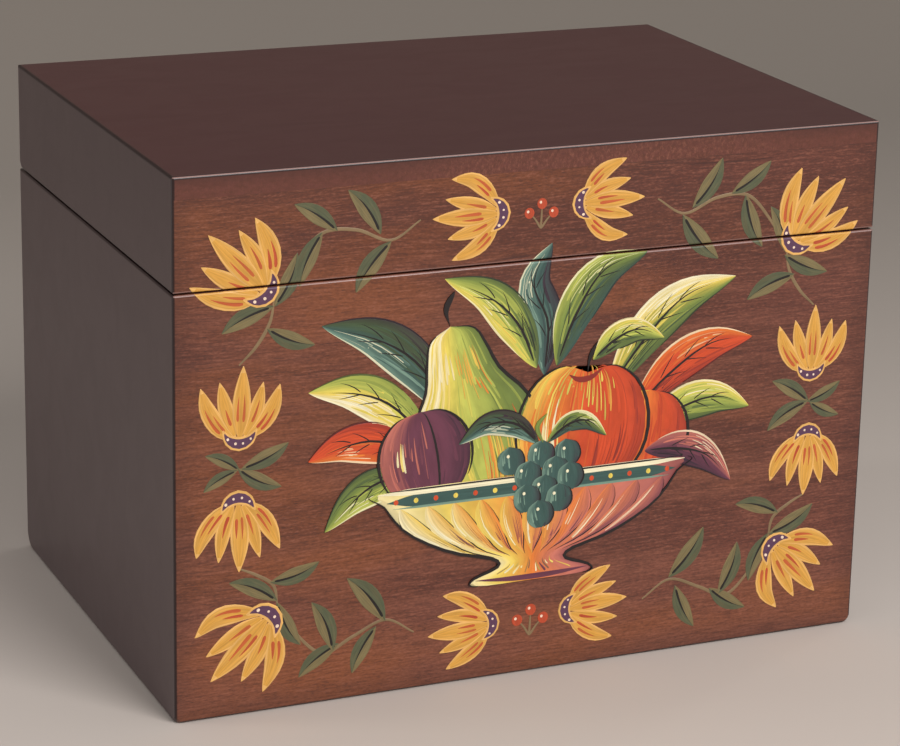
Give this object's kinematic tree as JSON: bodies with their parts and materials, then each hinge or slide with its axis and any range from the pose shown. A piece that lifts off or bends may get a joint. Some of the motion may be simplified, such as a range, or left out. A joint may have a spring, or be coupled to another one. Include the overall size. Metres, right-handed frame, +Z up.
{
  "type": "recipe card box",
  "caption": "Hinged wooden box for recipe cards: mitred walls, grooved bottom, lift-up lid with a flat top board, brass butt hinges and a hand-painted front.",
  "frame": {"origin": "on the ground under the middle of the box", "axes": "+X to the right seen from the front, +Y from the front to the hinged back, +Z up"},
  "size_m": [0.172, 0.1206, 0.125],
  "materials": {
    "front_stain": "red-brown stain with open grain under a satin varnish",
    "dark_stain": "dark brown stain under a smooth satin varnish",
    "plywood": "thin stain, no varnish",
    "hinge_brass": "brushed, lightly aged",
    "brushed_paint": "hand-brushed acrylic paint, satin"
  },
  "bodies": {
    "body": {"front_wall": "front_stain", "back_wall": "dark_stain", "left_wall": "dark_stain", "right_wall": "dark_stain", "bottom_panel": "plywood", "body_spline_front_left": "plywood", "body_spline_front_right": "plywood", "body_spline_back_left": "plywood", "body_spline_back_right": "plywood", "left_hinge_body_leaf": "hinge_brass", "left_hinge_pin": "hinge_brass", "left_hinge_body_screws": "hinge_brass", "right_hinge_body_leaf": "hinge_brass", "right_hinge_pin": "hinge_brass", "right_hinge_body_screws": "hinge_brass"},
    "lid": {"lid_front_rail": "front_stain", "lid_back_rail": "dark_stain", "lid_left_rail": "dark_stain", "lid_right_rail": "dark_stain", "lid_top_board": "dark_stain", "lid_spline_front_left": "plywood", "lid_spline_front_right": "plywood", "lid_spline_back_left": "plywood", "lid_spline_back_right": "plywood", "left_hinge_lid_leaf": "hinge_brass", "left_hinge_lid_screws": "hinge_brass", "right_hinge_lid_leaf": "hinge_brass", "right_hinge_lid_screws": "hinge_brass"}
  },
  "joints": [
    {"name": "lid_hinge", "type": "hinge", "parent": "body", "child": "lid", "pos_m": [0, 0.059, 0.0992], "axis": [-1, 0, 0], "range_deg": [0, 100]}
  ]
}
